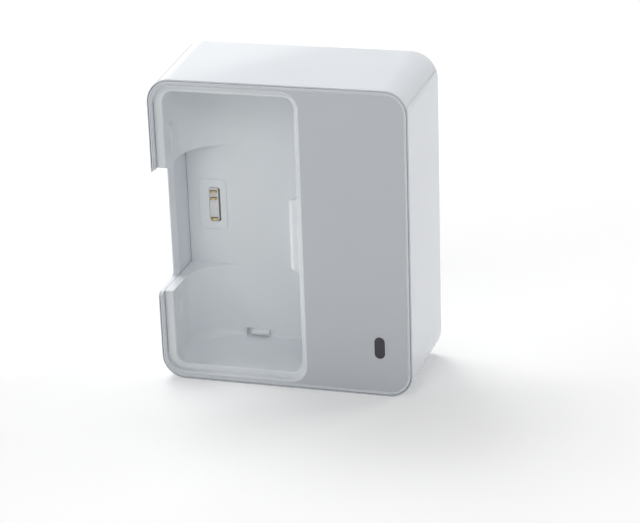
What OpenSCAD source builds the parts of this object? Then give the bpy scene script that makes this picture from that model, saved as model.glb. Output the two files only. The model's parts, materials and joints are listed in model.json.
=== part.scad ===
// Plug-in wall charger with an open bay for a two-cell battery pack.
// Millimetres. X runs to the right, Y to the back, Z up.
// The origin is the centre of the base, and the case stands on it.

/* [Case] */
// Distance of the outer right side from the bay's right wall
panel_w = 32.7; // [29:0.1:37]
// Height of the case above the bay's ceiling
crown_h = 4.1; // [3.6:0.1:4.6]
// Room behind the bay for the contact board and its leads
back_room = 3.2; // [3:0.1:6]
// Corner radius of the front outline
corner_r = 6.9; // [5:0.1:9]
// Growth of each side from front to back
side_flare = 0.94; // [0.4:0.02:2]
// Rise of the top from front to back
top_flare = 2; // [0.6:0.1:4]
// Side wall at the front edge
wall = 1.25; // [1.1:0.05:1.6]

/* [Front cover] */
// Thickness of the cover
cover_t = 2; // [1.6:0.1:2.6]
// Lip of the housing round the cover
lip_t = 0.35; // [0.25:0.05:0.5]
// Depth of the seat that the cover drops into
seat_d = 1.3; // [1:0.1:1.5]
// Shadow gap between the lip and the cover
cover_gap = 0.15; // [0.1:0.05:0.25]
// Width of the raised bead along the cover's edge
bead_w = 0.5; // [0.4:0.05:0.8]
// Width of the groove inside the bead
groove_w = 0.45; // [0.3:0.05:0.8]
// Depth of the groove below the bead
groove_d = 0.4; // [0.2:0.05:0.6]
// Drop of the panel below the bead
panel_drop = 0.12; // [0.05:0.01:0.2]

/* [Battery bay] */
// Width of the bay between its side walls
bay_w = 37.8; // [35:0.1:43]
// Height of the bay between its floor and ceiling
bay_h = 81.9; // [72:0.1:90]
// Depth of the bay from the front rim to its back wall
bay_d = 25.7; // [23:0.1:29]
// Height of the bay floor above the base
bay_floor = 4; // [3.8:0.1:4.4]
// Distance of the bay's left wall from the outer left side
bay_margin = 3.9; // [3.5:0.1:4.5]
// Radius of the bay's rear left corner
bay_corner_r = 13; // [8:0.5:14]
// Radius of the bay's rear right corner
bay_inner_r = 2.5; // [1.8:0.1:4]
// Corner radius of the bay in the front view
bay_r = 3; // [1.5:0.1:4]
// Width of the recessed rim above, below and to the right of the bay
rim_w = 1.7; // [1.2:0.1:1.9]
// Lap of the liner's flange behind the cover, to the right of the mouth
flange_lap = 1.6; // [1:0.1:2.4]
// Wall of the bay liner
liner_t = 1.6; // [1.2:0.1:1.8]
// Corner radius of the mouth on the panel side
mouth_r = 4.4; // [3:0.1:6]
// Chamfer of the mouth's edge
mouth_chamfer = 0.5; // [0.3:0.05:0.6]

/* [Finger notch] */
// Height of the notch floor above the base
notch_z = 26.2; // [22:0.1:32]
// Height of the notch
notch_h = 37; // [28:0.5:42]
// Depth of the notch from the front rim
notch_d = 14.55; // [10:0.05:17]
// Chamfer along the notch's edges on the outer side
notch_chamfer = 0.8; // [0.4:0.1:1]

/* [Contacts] */
// Width of the raised contact pad
pad_w = 8.5; // [7.5:0.1:9.5]
// Height of the raised contact pad
pad_h = 15.3; // [13:0.1:18]
// Height of the pad above the back wall
pad_t = 0.4; // [0.2:0.05:0.8]
// Corner radius of the pad
pad_r = 1.1; // [0.6:0.1:1.6]
// Centre of the pad from the bay's left wall
pad_x = 5.15; // [4.8:0.05:6]
// Centre of the pad above the base
pad_z = 44.65; // [42:0.05:48]
// Width of the contact slot
slot_w = 3.38; // [3:0.02:4]
// Height of the contact slot
slot_h = 10.4; // [9.6:0.1:12]
// Corner radius of the slot
slot_r = 0.7; // [0.5:0.1:0.9]
// Shift of the slot to the right of the pad's centre
slot_shift = 0.6; // [0.2:0.1:0.9]
// Gap in the slot to the right of the contact block
block_gap = 0.5; // [0.3:0.05:0.7]
// Pitch of the contact positions
contact_pitch = 2.1; // [1.9:0.05:2.2]
// Width of a contact spring
contact_w = 0.6; // [0.4:0.05:0.7]
// Length of a contact spring along its slit
contact_l = 2.05; // [1.6:0.05:2.1]
// Distance of the contact springs from the slot's left edge
contact_inset = 0.45; // [0.4:0.05:0.5]
// Reach of the contact springs in front of the pad
contact_reach = 0.9; // [0.5:0.05:1.4]
// Thickness of the contact board
contact_board_t = 1; // [0.8:0.1:1.2]

/* [Bay ribs] */
// Length of the retaining rib on the bay's right wall
rib_h = 20.4; // [14:0.1:26]
// How far the retaining rib stands out
rib_out = 3.3; // [2:0.1:5]
// Thickness of the retaining rib
rib_t = 3.2; // [2:0.1:4]
// Gap between the liner's flange and the retaining rib
rib_gap = 0.2; // [0.1:0.1:1]
// Chamfer of the rib's front edge
rib_chamfer = 1.3; // [0.6:0.1:1.5]
// Width of the locating tab at the foot of the back wall
tab_w = 5.4; // [4:0.1:7]
// Distance of the locating tab from the bay's left wall
tab_x = 15.6; // [14:0.1:22]
// How far the locating tab stands out
tab_out = 1.5; // [0.8:0.1:2]
// Top of the locating tab above the bay floor
tab_top = 2.2; // [1.6:0.1:3]
// Chamfer of the locating tab
tab_chamfer = 0.5; // [0.3:0.1:0.7]
// Width of the slot in the back wall beside the locating tab
tab_slot_w = 2; // [1.2:0.1:3]
// Length of the two snap ribs on the bay's left wall
snap_h = 8.3; // [5:0.1:10]
// How far the snap ribs stand out
snap_out = 0.4; // [0.2:0.05:0.6]
// Thickness of the snap ribs
snap_t = 1.2; // [0.6:0.1:1.6]
// Distance of the snap ribs from the front rim
snap_y = 7; // [5:0.1:9]
// Distance of the snap ribs from the floor and the ceiling
snap_end = 11; // [6:0.5:13]

/* [Indicator] */
// Width of the indicator window
lens_w = 2.9; // [2:0.1:4]
// Height of the indicator window
lens_h = 6.45; // [5:0.05:9]
// Centre of the window from the outer right side
lens_inset = 9.37; // [8.2:0.01:10.5]
// Centre of the window above the base
lens_z = 14.6; // [14:0.1:18]
// Stop of the window round its opening
lens_stop = 0.8; // [0.5:0.1:1.2]
// Thickness of that stop
lens_stop_t = 1; // [0.8:0.1:1.4]
// Diameter of the status lamp
lamp_d = 3; // [2.4:0.1:3.4]
// Length of the status lamp
lamp_l = 4.5; // [4:0.1:6]
// Gap between the window and the lamp
lamp_gap = 0.3; // [0.2:0.1:1]
// Wall of the sleeve that holds the lamp
sleeve_t = 0.9; // [0.6:0.1:1.2]

/* [Rear plate and plug] */
// Thickness of the rear plate
plate_t = 2; // [1.8:0.1:2.4]
// Ledge that the rear plate seats on
plate_ledge = 0.6; // [0.45:0.05:0.7]
// Centre distance of the two blades
blade_pitch = 12.7; // [12.7:0.1:13]
// Width of a blade
blade_w = 6.35; // [6.1:0.05:6.6]
// Thickness of a blade
blade_t = 1.52; // [1.4:0.01:1.65]
// Length of a blade outside the rear plate
blade_l = 17.5; // [15.9:0.1:18.3]
// Taper at a blade's tip
blade_tip = 1.5; // [1:0.1:2]
// Shoulder of a blade's root on each side
root_w = 1.2; // [0.8:0.1:1.5]
// Length of a blade's root inside the rear plate
root_l = 1.4; // [1:0.1:1.6]
// Diameter of the hole near a blade's tip
blade_hole_d = 3.1; // [3:0.05:3.25]
// Distance of that hole from the rear plate
blade_hole_y = 11.7; // [11:0.1:12.5]
// Height of the blades above the base
blade_z = 58; // [54:0.5:62]
// Thickness of the walls that guard the blade roots
guard_t = 1; // [0.8:0.1:1.2]

/* [Screws] */
// Distance of the case screws from the outer sides
screw_inset = 4.8; // [4.6:0.1:5]
// Distance of the case screws from the base and the top
screw_end = 7; // [6.6:0.1:7.4]
// Radius of a screw boss
boss_r = 2.4; // [2.1:0.1:2.5]
// Length of a screw boss
boss_l = 6.25; // [5:0.05:6.4]
// Thickness of the web between a boss and the side wall
web_t = 2; // [1.4:0.1:2.4]
// Diameter of a screw's shank
screw_d = 2; // [1.6:0.1:2.4]
// Diameter of a screw's head
head_d = 4.2; // [3.6:0.1:4.6]
// Height of a screw's head
head_t = 1; // [0.8:0.1:1.1]
// Width of the cross slots in a screw's head
cross_w = 0.5; // [0.4:0.05:0.7]
// Length of a case screw's shank in its boss
screw_l = 5.7; // [4.5:0.1:6]

/* [Main board] */
// Thickness of the main board
board_t = 1.6; // [1.2:0.1:1.8]
// Gap between the main board and the rear plate
board_standoff = 3.6; // [3.2:0.1:4]
// Gap between the main board and the walls beside it
board_margin = 0.95; // [0.7:0.05:1.2]
// Gap between the main board and the screw bosses above and below it
board_end = 1.6; // [1:0.1:2]
// Gap between the rows of parts on the board
row_gap = 1.2; // [0.8:0.1:1.4]
// Gap between the parts and the board's edges
edge_gap = 1.5; // [1:0.1:1.8]
// Centre of the board's posts from its side edges
post_inset = 3; // [2.8:0.1:3.4]
// Height of the lower post above the board's lower edge
post_z = 6; // [5:0.1:7]
// Radius of a board post
post_r = 2.2; // [1.9:0.1:2.4]
// Radius of a part's lead wire
pin_r = 0.35; // [0.25:0.05:0.45]
// Length of a lead wire beyond the board
pin_l = 0.5; // [0.3:0.1:0.8]
// Diameter of an insulated lead
lead_d = 1.3; // [1:0.1:1.5]

/* [Transformer] */
// Room beside the transformer core on each side
core_side = 3.8; // [3.4:0.1:5]
// Height of the transformer core
core_h = 16; // [14:0.5:17]
// Thickness of the transformer core
core_t = 5; // [4:0.1:6]
// Gap between the transformer core and the board
core_seat = 0.8; // [0.6:0.1:1]
// Wall of the transformer bobbin
bobbin_t = 0.6; // [0.5:0.1:0.8]
// Thickness of the bobbin's flanges
flange_t = 0.8; // [0.6:0.1:1]

/* [Parts on the board] */
// Diameter of the input capacitors
cap_d = 9.6; // [8:0.1:10.5]
// Length of the input capacitors
cap_l = 16; // [12:0.5:18]
// Diameter of the output capacitor
out_cap_d = 8; // [6.3:0.1:9]
// Length of the output capacitor
out_cap_l = 12; // [9:0.5:16]
// Width and height of the sealed rim of a capacitor
cap_rim = 0.6; // [0.4:0.1:0.8]
// Diameter of the filter choke
choke_d = 7; // [5:0.5:8]
// Length of the filter choke
choke_l = 9; // [7:0.5:11]
// Thickness of the choke's end plates
choke_end = 1.5; // [1:0.1:2]
// Diameter of the fuse
fuse_d = 4; // [3.6:0.1:4.4]
// Length of the fuse and of the output diode
tube_l = 9; // [8:0.1:9.8]
// Diameter of the output diode
diode_d = 5; // [4:0.1:5.4]
// Length of the bent leads beside the fuse and the diode
tube_lead = 1.2; // [0.9:0.1:1.4]
// Width of the bridge rectifier
bridge_w = 7; // [6:0.1:7.5]
// Height of the bridge rectifier
bridge_h = 4.4; // [3.8:0.1:4.8]
// Thickness of the bridge rectifier and the optocoupler
package_t = 3.4; // [2.8:0.1:4]
// Side of the optocoupler
opto_w = 4.6; // [4:0.1:5]
// Side of the charge controller
chip_w = 7; // [5:0.1:8]
// Thickness of the controller chips
chip_t = 1.2; // [0.9:0.1:1.5]
// Width of the power controller
power_w = 5; // [4:0.1:6]
// Height of the power controller
power_h = 4; // [3:0.1:5]
// Diameter of the safety capacitor
disc_d = 7.6; // [6:0.1:9]
// Thickness of the safety capacitor
disc_t = 3; // [2:0.1:3.2]

/* [Hidden] */

// Clearances, the overlap of joined solids, and how far a cut runs past its solid
fit = 0.1;
tight = 0.05;
screw_play = 0.2;
eps = 0.01;
past = 1;
arc_steps = 16;
$fn = 48;

// Case sizes and planes
case_w = bay_margin + bay_w + panel_w;
case_h = bay_floor + bay_h + crown_h;
case_d = bay_d + liner_t + back_room + plate_t;
y_front = -case_d / 2;
y_back = case_d / 2;
plate_y = y_back - plate_t;
cover_back_y = y_front + cover_t;
in_x = case_w / 2 - wall;
in_top = case_h - wall;
cover_inset = lip_t + cover_gap;
panel_inset = cover_inset + bead_w + groove_w;

// Bay planes: pocket, mouth in the cover, and the liner round them
bay_x0 = -case_w / 2 + bay_margin;
bay_x1 = bay_x0 + bay_w;
bay_z0 = bay_floor;
bay_z1 = bay_floor + bay_h;
bay_y = y_front + bay_d;
liner_y = bay_y + liner_t;
mouth_x0 = -in_x + tight;
mouth_x1 = bay_x1 + rim_w;
flange_x1 = mouth_x1 + flange_lap;
mouth_z0 = bay_z0 - rim_w;
mouth_z1 = bay_z1 + rim_w;
notch_y = y_front + notch_d;
notch_top = notch_z + notch_h;
notch_x1 = bay_x0 + bay_corner_r;

// Contacts on the back wall, counted down from the top of the slot
pad_cx = bay_x0 + pad_x;
pad_y = bay_y - pad_t;
pad_z0 = pad_z - pad_h / 2;
slot_x0 = pad_cx + slot_shift - slot_w / 2;
slot_x1 = pad_cx + slot_shift + slot_w / 2;
contact_x0 = slot_x0 + contact_inset;
contact_x1 = contact_x0 + contact_l;
contact_tip_y = pad_y - contact_reach;
contact_top = pad_z + 1.9 * contact_pitch;
contact_places = [contact_top, contact_top - contact_pitch, contact_top - 4 * contact_pitch];
contact_board_y = liner_y + fit;
wire_y = contact_board_y + contact_board_t + lead_d / 2;
wire_z = pad_z0 + 2 * lead_d;

// Screws and blades
screw_places = [
    for (side = [-1, 1], z = [screw_end, case_h - screw_end])
        [side * (case_w / 2 - screw_inset), z]
];
root_y = plate_y - root_l;
root_z = blade_z - blade_w / 2 - root_w;
blade_wire_y = plate_y - lead_d / 2 - tight;

// Main board, and its posts at [side, height]
board_y = plate_y - board_standoff - board_t;
board_back = board_y + board_t;
board_x0 = flange_x1 + board_margin;
board_x1 = in_x - board_margin;
board_w = board_x1 - board_x0;
board_cx = (board_x0 + board_x1) / 2;
board_z = screw_end + boss_r + board_end;
board_top = case_h - board_z;
parts_x0 = board_x0 + edge_gap;
parts_x1 = board_x1 - edge_gap;

// Rows of parts on the board, from the top down
cap_z = board_top - edge_gap - cap_d / 2;
mains_top = cap_z - cap_d / 2 - row_gap;
choke_z = mains_top - choke_d / 2;
bridge_z = mains_top - bridge_h / 2;
fuse_z = mains_top - bridge_h - row_gap - fuse_d / 2;
core_w = board_w - 2 * core_side;
leg = core_w / 4;
window_w = core_w / 4;
window_h = core_h - leg;
core_y1 = board_y - core_seat;
core_y0 = core_y1 - core_h;
window_y0 = core_y0 + leg / 2;
window_y1 = window_y0 + window_h;
bobbin_half = core_t / 2 + window_w;
core_z = fuse_z - fuse_d / 2 - row_gap - bobbin_half;
diode_top = core_z - bobbin_half - row_gap;
output_top = diode_top - diode_d - row_gap;
post_low = [board_x0 + post_inset, board_z + post_z];
post_high = [board_x1 - post_inset, bridge_z];

// Indicator
lens_x = case_w / 2 - lens_inset;
lens_stop_y = cover_back_y + lens_stop_t;
lamp_y0 = lens_stop_y + lamp_gap;
lamp_y1 = lamp_y0 + lamp_l;

// A quarter arc round [cx, cz] from the angle a0
function arc(cx, cz, r, a0) =
    [for (i = [0:arc_steps]) [cx + r * cos(a0 + 90 * i / arc_steps), cz + r * sin(a0 + 90 * i / arc_steps)]];
// Points of a rectangle from [x0, z0] to [x1, z1] whose left and right corners have their own radii
function round_rect(x0, z0, x1, z1, r_left, r_right) = concat(
    arc(x1 - r_right, z1 - r_right, r_right, 0),
    arc(x0 + r_left, z1 - r_left, r_left, 90),
    arc(x0 + r_left, z0 + r_left, r_left, 180),
    arc(x1 - r_right, z0 + r_right, r_right, 270));
// The front outline moved inwards by a distance
function front_outline(inset) = round_rect(
    -case_w / 2 + inset, inset, case_w / 2 - inset, case_h - inset, corner_r - inset, corner_r - inset);
// Outline of the bay mouth, with its right, upper and lower edges moved outwards
function mouth(out) = round_rect(
    mouth_x0, mouth_z0 - out, mouth_x1 + out, mouth_z1 + out,
    corner_r - wall - fit + out, mouth_r + out);
// Plan of the bay, open at the front, with its walls moved outwards by a distance
function bay_plan(out, y_mouth) = concat(
    [[bay_x1 + out, y_mouth]],
    arc(bay_x1 - bay_inner_r, bay_y - bay_inner_r, bay_inner_r + out, 0),
    arc(bay_x0 + bay_corner_r, bay_y - bay_corner_r, bay_corner_r + out, 90),
    [[bay_x0 - out, y_mouth]]);
// Outline of the contact slot, with its edge moved inwards and its right side moved by a gap as well
function contact_slot(inset, gap) = round_rect(
    slot_x0 + inset, pad_z - slot_h / 2 + inset, slot_x1 - inset - gap, pad_z + slot_h / 2 - inset,
    slot_r - inset, slot_r - inset);

// A flat outline in X and Z, raised from y0 to y1
module slab(points, y0, y1) {
    translate([0, y1, 0]) rotate([90, 0, 0]) linear_extrude(y1 - y0) polygon(points);
}
// A solid between an outline at y0 and another at y1
module loft(points0, y0, points1, y1) {
    hull() {
        slab(points0, y0, y0 + eps);
        slab(points1, y1 - eps, y1);
    }
}
// A plan outline in X and Y, raised from z0 to z1
module prism(points, z0, z1) {
    translate([0, 0, z0]) linear_extrude(z1 - z0) polygon(points);
}
// A box between two corners
module box(low, high) {
    translate(low) cube(high - low);
}
// A cylinder along Y from y0 to y1 at [x, z]
module rod_y(place, r, y0, y1) {
    translate([place[0], y1, place[1]]) rotate([90, 0, 0]) cylinder(r = r, h = y1 - y0);
}
// A cylinder along X from x0 to x1 at [y, z]
module rod_x(place, r, x0, x1) {
    translate([x0, place[0], place[1]]) rotate([0, 90, 0]) cylinder(r = r, h = x1 - x0);
}
// An upright slot with round ends along Y
module slot_y(x, z, w, h, y0, y1) {
    rod_y([x, z + (h - w) / 2], w / 2, y0, y1);
    rod_y([x, z - (h - w) / 2], w / 2, y0, y1);
    box([x - w / 2, y0, z - (h - w) / 2], [x + w / 2, y1, z + (h - w) / 2]);
}
// The corner of an insulated lead
module lead_bend(place) {
    translate(place) sphere(d = lead_d);
}

// Housing: a tub that opens to the back, with the cover's seat at the front
module housing() {
    pilot = screw_d / 2 + tight;
    color("whitesmoke") difference() {
        union() {
            difference() {
                housing_form();
                slab(front_outline(wall), y_front - past, y_back + past);
            }
            for (p = screw_places) screw_boss(p);
        }
        slab(front_outline(lip_t), y_front - past, y_front + seat_d);
        slab(front_outline(wall - plate_ledge), plate_y, y_back + past);
        finger_cut(notch_y);
        notch_edge_cut();
        for (p = screw_places) rod_y(p, pilot, plate_y - screw_l - screw_play, plate_y + eps);
    }
}
// Outer form of the housing, wider and taller at the back
module housing_form() {
    back_r = corner_r + side_flare;
    back_x = case_w / 2 + side_flare;
    back = round_rect(-back_x, 0, back_x, case_h + top_flare, back_r, back_r);
    loft(front_outline(0), y_front, back, y_back);
}
// Screw boss with a web to the side wall
module screw_boss(place) {
    reach = sign(place[0]) * (in_x + wall / 2);
    y0 = plate_y - boss_l;
    rod_y(place, boss_r, y0, plate_y);
    low = [min(place[0], reach), y0, place[1] - web_t / 2];
    box(low, [max(place[0], reach), plate_y, place[1] + web_t / 2]);
}
// Cut of the finger notch through the left side, as far back as y1
module finger_cut(y1) {
    box([-case_w, y_front - past, notch_z], [notch_x1, y1, notch_top]);
}
// Chamfer of the notch's long edges, out past the flared side
module notch_edge_cut() {
    x = -case_w / 2 + notch_chamfer;
    out = notch_chamfer + side_flare + past;
    slab([[x, notch_z], [x - out, notch_z - out], [x - out, notch_top + out], [x, notch_top]],
        y_front - past, notch_y);
}

// Front cover: bead, groove, sunk panel, mouth of the bay and indicator window
module front_cover() {
    open_w = lens_w + 2 * tight;
    open_h = lens_h + 2 * tight;
    chamfer_y = y_front + panel_drop + mouth_chamfer;
    color("ghostwhite") difference() {
        union() {
            cover_rim();
            slab(front_outline(wall + fit), y_front + seat_d - eps, cover_back_y);
        }
        slab(mouth(0), y_front - past, cover_back_y + past);
        loft(mouth(mouth_chamfer + panel_drop), y_front - eps, mouth(0), chamfer_y);
        finger_cut(cover_back_y + past);
        slot_y(lens_x, lens_z, open_w, open_h, y_front - past, cover_back_y + past);
    }
}
// Edge of the cover, down to its seat
module cover_rim() {
    bevel = bead_w / 4;
    bead_back = cover_inset + bead_w;
    difference() {
        union() {
            loft(front_outline(cover_inset + bevel), y_front, front_outline(cover_inset), y_front + bevel);
            slab(front_outline(cover_inset), y_front + bevel, y_front + seat_d);
        }
        difference() {
            slab(front_outline(bead_back), y_front - past, y_front + groove_d);
            slab(front_outline(panel_inset), y_front + panel_drop, y_front + groove_d + past);
        }
        loft(front_outline(bead_back - bevel), y_front - eps, front_outline(bead_back), y_front + bevel);
    }
}

// Bay liner: flange behind the cover, pocket, notch box, pad and small ribs
module bay_liner() {
    color("white") difference() {
        union() {
            difference() {
                liner_outside();
                pocket(0, y_front);
                finger_cut(bay_y);
            }
            contact_pad();
            retaining_rib();
            locating_tab();
            snap_ribs();
        }
        slab(contact_slot(0, 0), pad_y - past, liner_y + past);
        tab_slot();
    }
}
// Solid round the pocket, with the flange and the box of the finger notch
module liner_outside() {
    y0 = cover_back_y;
    side = in_x - fit;
    intersection() {
        slab(front_outline(wall + fit), y0, liner_y);
        union() {
            box([-side, y0, wall], [flange_x1, y0 + liner_t, in_top]);
            pocket(liner_t, y0);
            box([-side, y0, notch_z - liner_t], [notch_x1, liner_y, notch_top + liner_t]);
        }
    }
}
// Space of the pocket from y0 to the back wall, moved outwards by a distance
module pocket(out, y0) {
    outline = round_rect(bay_x0 - out, bay_z0 - out, bay_x1 + out, bay_z1 + out, bay_r + out, bay_r + out);
    intersection() {
        prism(bay_plan(out, y0), bay_z0 - out, bay_z1 + out);
        slab(outline, y0, bay_y + out);
    }
}
// Raised pad round the contact slot
module contact_pad() {
    x0 = pad_cx - pad_w / 2;
    outline = round_rect(x0, pad_z0, x0 + pad_w, pad_z0 + pad_h, pad_r, pad_r);
    slab(outline, pad_y, bay_y + liner_t / 2);
}
// Upright rib on the right wall, with a chamfered tip and slanted ends
module retaining_rib() {
    y0 = cover_back_y + liner_t + rib_gap;
    y1 = y0 + rib_t;
    z0 = (bay_z0 + bay_z1 - rib_h) / 2;
    z1 = z0 + rib_h;
    tip = bay_x1 - rib_out;
    root = bay_x1 + liner_t / 2;
    slant = rib_out / 3;
    plan = [[root, y0], [tip + rib_chamfer, y0], [tip, y0 + rib_chamfer], [tip, y1 - rib_chamfer / 2],
        [tip + rib_chamfer / 2, y1], [root, y1]];
    side = [[root, z0 - slant], [tip, z0], [tip, z1], [root, z1 + slant]];
    intersection() {
        prism(plan, z0 - slant, z1 + slant);
        slab(side, y0 - past, y1 + past);
    }
}
// Locating tab in the corner of floor and back wall, with a slanted top
module locating_tab() {
    front = bay_y - tab_out;
    back = bay_y + liner_t / 2;
    low = bay_z0 - liner_t / 2;
    top = bay_z0 + tab_top;
    profile = [[back, low], [front, low], [front, top - tab_chamfer],
        [front + tab_chamfer, top], [back, top]];
    translate([bay_x0 + tab_x, 0, 0]) rotate([90, 0, 90]) linear_extrude(tab_w) polygon(profile);
}
// Slot through the back wall beside the locating tab
module tab_slot() {
    x = bay_x0 + tab_x;
    box([x - tab_slot_w, bay_y - past, bay_z0], [x, liner_y + past, bay_z0 + tab_top]);
}
// Two low snap ribs on the left wall, near its front
module snap_ribs() {
    y0 = y_front + snap_y;
    for (z = [bay_z0 + snap_end, bay_z1 - snap_end - snap_h]) {
        box([bay_x0 - liner_t / 2, y0, z], [bay_x0 + snap_out, y0 + snap_t, z + snap_h]);
    }
}

// Rear plate: blade slots, screw holes, blade guard and board posts
module rear_plate() {
    pilot_end = plate_y + plate_t / 2;
    color("whitesmoke") difference() {
        union() {
            slab(front_outline(wall - plate_ledge + fit), plate_y, y_back);
            blade_guard();
            for (p = [post_low, post_high]) rod_y(p, post_r, board_back, plate_y + eps);
        }
        for (side = [-1, 1]) blade_slot(side);
        for (p = screw_places) {
            rod_y(p, screw_d / 2 + screw_play, plate_y - past, y_back + past);
            rod_y(p, head_d / 2 + screw_play, y_back - head_t - fit, y_back + past);
        }
        for (p = [post_low, post_high]) rod_y(p, screw_d / 2 + tight, board_back - past, pilot_end);
    }
}
// Slot for one blade
module blade_slot(side) {
    x = side * blade_pitch / 2;
    half_t = blade_t / 2 + tight;
    half_w = blade_w / 2 + tight;
    box([x - half_t, plate_y - past, blade_z - half_w], [x + half_t, y_back + past, blade_z + half_w]);
}
// Low walls above the blade roots and between them, inside the case
module blade_guard() {
    reach = blade_pitch / 2 + blade_t;
    z = blade_z + blade_w / 2 + root_w + 4 * fit;
    box([-reach, root_y, z], [reach, plate_y + eps, z + guard_t]);
    box([-guard_t / 2, root_y, blade_z - blade_w / 2], [guard_t / 2, plate_y + eps, z + eps]);
}

// Flush window of the indicator, with a stop behind the cover
module indicator_lens() {
    stop_w = lens_w + 2 * lens_stop;
    stop_h = lens_h + 2 * lens_stop;
    color("dimgray") {
        slot_y(lens_x, lens_z, lens_w, lens_h, y_front + panel_drop, lens_stop_y);
        slot_y(lens_x, lens_z, stop_w, stop_h, cover_back_y + tight, lens_stop_y);
    }
}

// Insulating body of the contacts, behind the slot in the pad
module contact_block() {
    half = contact_w / 2 + fit;
    color("lightgray") difference() {
        slab(contact_slot(fit, block_gap), pad_y + fit, contact_board_y);
        for (z = contact_places) box([contact_x0 - tight, pad_y - past, z - half],
            [contact_x1 + tight, contact_board_y + past, z + half]);
    }
}
// One contact: a flat blade whose front end is bowed towards the battery
module contact(z) {
    y1 = contact_board_y - tight;
    crown = contact_x0 + contact_l * 0.42;
    shoulder = crown + contact_l * 0.3;
    bow = [[contact_x1, y1], [contact_x1, pad_y], [shoulder, contact_tip_y + contact_reach / 4],
        [crown, contact_tip_y], [contact_x0, contact_tip_y + contact_reach / 2], [contact_x0, y1]];
    color("gold") prism(bow, z - contact_w / 2, z + contact_w / 2);
}
// Small board that carries the contacts behind the bay
module contact_board() {
    x0 = pad_cx - pad_w / 2 + liner_t / 2;
    color("darkgreen") box([x0, contact_board_y, pad_z0],
        [x0 + pad_w, contact_board_y + contact_board_t, pad_z0 + pad_h]);
}
// Three leads from the contact board to the main board
module contact_leads() {
    x_end = board_x0 + edge_gap;
    color("firebrick") for (i = [-1:1]) {
        z = wire_z + i * (lead_d + 2 * fit);
        rod_x([wire_y, z], lead_d / 2, pad_cx + pad_w / 4, x_end);
        rod_y([x_end, z], lead_d / 2, board_back + tight, wire_y);
        lead_bend([x_end, wire_y, z]);
    }
}

// One flat blade with a wider root inside the case and a hole near its tip
module blade(side) {
    x = side * blade_pitch / 2;
    y_tip = y_back + blade_l;
    half = blade_w / 2;
    shoulder_y = plate_y - tight;
    profile = [[root_y, half + root_w], [shoulder_y, half + root_w], [shoulder_y, half],
        [y_tip - blade_tip, half], [y_tip, half - blade_tip]];
    lower = [for (i = [len(profile) - 1:-1:0]) [profile[i][0], -profile[i][1]]];
    color("goldenrod") difference() {
        translate([x - blade_t / 2, 0, blade_z]) rotate([90, 0, 90]) linear_extrude(blade_t)
            polygon(concat(profile, lower));
        rod_x([y_back + blade_hole_y, blade_z], blade_hole_d / 2, x - blade_t, x + blade_t);
    }
}
// Leads from the blade roots to the main board, the far one below the near blade
module blade_leads() {
    y = blade_wire_y;
    x_end = board_x0 + board_w / 4;
    x_far = -blade_pitch / 2;
    x_near = blade_pitch / 2 + blade_t / 2 + tight;
    z_run = root_z - 2 * lead_d;
    color("dimgray") {
        translate([x_far, y, z_run]) cylinder(d = lead_d, h = root_z - tight - z_run);
        lead_bend([x_far, y, z_run]);
        rod_x([y, z_run], lead_d / 2, x_far, x_end);
        rod_x([y, blade_z], lead_d / 2, x_near, x_end);
        for (z = [z_run, blade_z]) {
            lead_bend([x_end, y, z]);
            rod_y([x_end, z], lead_d / 2, board_back + tight, y);
        }
    }
}

// Pan-head screw along Y: its head lies behind y_head, or before it where side is -1
module screw(place, y_head, length, side) {
    head_end = y_head + side * head_t;
    slot_end = y_head + side * head_t / 2;
    shank_end = y_head - side * length;
    slot_past = head_end + side * past;
    neck = y_head + side * eps;
    difference() {
        union() {
            rod_y(place, screw_d / 2, min(shank_end, neck), max(shank_end, neck));
            rod_y(place, head_d / 2, min(y_head, head_end), max(y_head, head_end));
        }
        for (a = [0, 90]) translate([place[0], 0, place[1]]) rotate([0, a, 0])
            box([-head_d * 0.3, min(slot_end, slot_past), -cross_w / 2],
                [head_d * 0.3, max(slot_end, slot_past), cross_w / 2]);
    }
}
module case_screws() {
    y_head = y_back - head_t - fit;
    color("silver") for (p = screw_places) screw(p, y_head, screw_l + y_head - plate_y, 1);
}
module board_screws() {
    color("silver") for (p = [post_low, post_high]) screw(p, board_y, board_t + board_standoff, -1);
}

// Main board with the holes of its two screws
module main_board() {
    color("darkolivegreen") difference() {
        box([board_x0, board_y, board_z], [board_x1, board_back, board_top]);
        for (p = [post_low, post_high]) rod_y(p, screw_d / 2 + screw_play, board_y - past, board_back + past);
    }
}
// Transformer: core with two windows, bobbin and winding round the middle leg
module transformer_core() {
    color("darkslategray") difference() {
        centred_box([core_w / 2, core_t / 2], core_y0, core_y1);
        for (x = [board_cx - leg / 2 - window_w, board_cx + leg / 2]) {
            box([x, window_y0, core_z - core_t], [x + window_w, window_y1, core_z + core_t]);
        }
    }
}
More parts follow.
